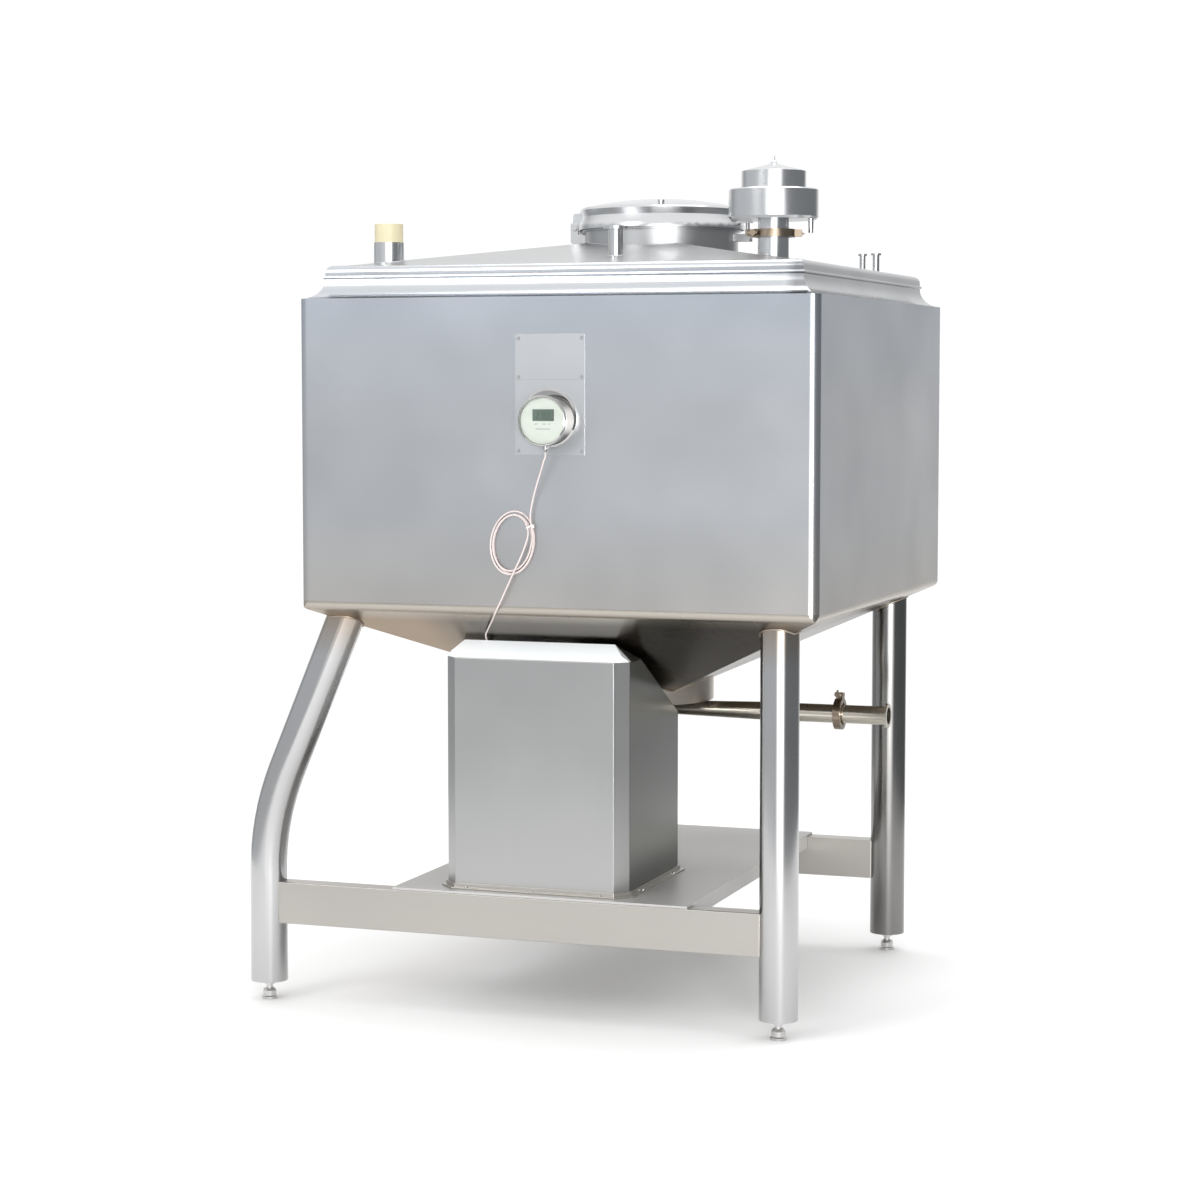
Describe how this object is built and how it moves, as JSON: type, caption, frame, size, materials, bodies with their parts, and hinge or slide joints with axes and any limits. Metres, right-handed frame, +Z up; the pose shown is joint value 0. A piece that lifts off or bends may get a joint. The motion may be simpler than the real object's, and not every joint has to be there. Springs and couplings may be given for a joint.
{
  "type": "bulk milk tank",
  "caption": "Square insulated milk tank with an inverted pyramid bottom, hinged manhole lid, breather, covered bottom drive and tubular stand.",
  "frame": {"origin": "centre of the footprint box, on the floor under the feet", "axes": "+X to the discharge side, -Y to the front wall with the thermometer, +Z up"},
  "size_m": [1.4444, 1.307, 2.0083],
  "materials": {
    "brushed_stainless": "satin brushed",
    "polished_stainless": "bright polished",
    "dull_stainless": "matt, handled",
    "machined_steel": "machined",
    "chrome": "mirror",
    "plate_aluminium": "satin",
    "foam": "rigid foam",
    "motor_paint": "satin paint",
    "cast_iron": "machined",
    "black_rubber": "matt",
    "white_rubber": "matt",
    "cream_plastic": "slightly worn",
    "cable_sleeve": "soft gloss"
  },
  "bodies": {
    "tank": {"outer_shell": "brushed_stainless", "top_curb": "polished_stainless", "roof": "polished_stainless", "bottom_cladding": "brushed_stainless", "insulation": "foam", "inner_vessel": "brushed_stainless", "sump": "brushed_stainless", "leg_front_left": "polished_stainless", "leg_front_right": "polished_stainless", "leg_back_left": "polished_stainless", "leg_back_right": "polished_stainless", "leg_end_plugs": "dull_stainless", "front_rail": "dull_stainless", "back_rail": "dull_stainless", "base_plate": "dull_stainless", "foot_lock_nuts": "machined_steel", "motor_cover": "polished_stainless", "cover_skirt": "dull_stainless", "cover_screws": "machined_steel", "motor_body": "motor_paint", "motor_bracket": "dull_stainless", "drive_belts": "black_rubber", "spindle_housing": "dull_stainless", "spindle_bearings": "machined_steel", "stator_ring": "machined_steel", "shaft_seal": "black_rubber", "belt_guard": "dull_stainless", "discharge_pipe": "polished_stainless", "pipe_gasket": "white_rubber", "discharge_spout": "polished_stainless", "tri_clamps": "polished_stainless", "manhole_collar": "polished_stainless", "lid_gasket": "white_rubber", "hinge_pin": "machined_steel", "breather_neck": "polished_stainless", "breather_bowl": "polished_stainless", "breather_filter": "white_rubber", "spray_port": "polished_stainless", "roof_ports": "polished_stainless", "nameplate": "plate_aluminium", "gauge_plate": "plate_aluminium", "plate_screws": "machined_steel", "thermometer_housing": "chrome", "thermometer_bezel": "chrome", "sensor_cable": "cable_sleeve", "cable_coil": "cable_sleeve"},
    "lid": {"manhole_lid": "polished_stainless"},
    "clamp_bolt": {"swing_bolt": "machined_steel"},
    "clamp_nut": {"wing_nut": "machined_steel"},
    "motor_rotor": {"motor_shaft": "machined_steel", "motor_pulley": "cast_iron"},
    "spindle": {"spindle_shaft": "machined_steel", "spindle_pulley": "cast_iron", "impeller": "machined_steel"},
    "front_left_foot": {"foot_front_left": "machined_steel"},
    "front_right_foot": {"foot_front_right": "machined_steel"},
    "back_left_foot": {"foot_back_left": "machined_steel"},
    "back_right_foot": {"foot_back_right": "machined_steel"},
    "cap": {"breather_cap": "polished_stainless"},
    "plug": {"port_plug": "cream_plastic"}
  },
  "joints": [
    {"name": "lid_hinge", "type": "hinge", "parent": "tank", "child": "lid", "pos_m": [-0.08075, 0.0485, 1.868], "axis": [0, -1, 0], "range_deg": [0, 105]},
    {"name": "clamp_swing", "type": "hinge", "parent": "tank", "child": "clamp_bolt", "pos_m": [0.35725, 0.0485, 1.838], "axis": [0, 1, 0], "range_deg": [0, 100]},
    {"name": "clamp_nut_turn", "type": "hinge", "parent": "clamp_bolt", "child": "clamp_nut", "pos_m": [0.35725, 0.0485, 1.89], "axis": [0, 0, 1], "continuous": true},
    {"name": "spindle_turn", "type": "hinge", "parent": "tank", "child": "spindle", "pos_m": [0.08225, 0.0285, 0.5], "axis": [0, 0, 1], "continuous": true},
    {"name": "motor_turn", "type": "hinge", "parent": "tank", "child": "motor_rotor", "pos_m": [-0.03775, -0.3015, 0.5], "axis": [0, 0, 1], "continuous": true},
    {"name": "front_left_turn", "type": "hinge", "parent": "tank", "child": "front_left_foot", "pos_m": [-0.67775, -0.5015, 0.03], "axis": [0, 0, 1], "continuous": true},
    {"name": "front_right_turn", "type": "hinge", "parent": "tank", "child": "front_right_foot", "pos_m": [0.59725, -0.5015, 0.03], "axis": [0, 0, 1], "continuous": true},
    {"name": "back_left_turn", "type": "hinge", "parent": "tank", "child": "back_left_foot", "pos_m": [-0.43275, 0.5585, 0.03], "axis": [0, 0, 1], "continuous": true},
    {"name": "back_right_turn", "type": "hinge", "parent": "tank", "child": "back_right_foot", "pos_m": [0.59725, 0.5585, 0.03], "axis": [0, 0, 1], "continuous": true},
    {"name": "cap_lift", "type": "slide", "parent": "tank", "child": "cap", "axis": [0, 0, 1], "range_m": [0, 0.08]},
    {"name": "plug_pull", "type": "slide", "parent": "tank", "child": "plug", "axis": [0, 0, 1], "range_m": [0, 0.06]}
  ],
  "couplings": [
    {"joint": "motor_turn", "follows": "spindle_turn", "ratio": 0.75}
  ]
}
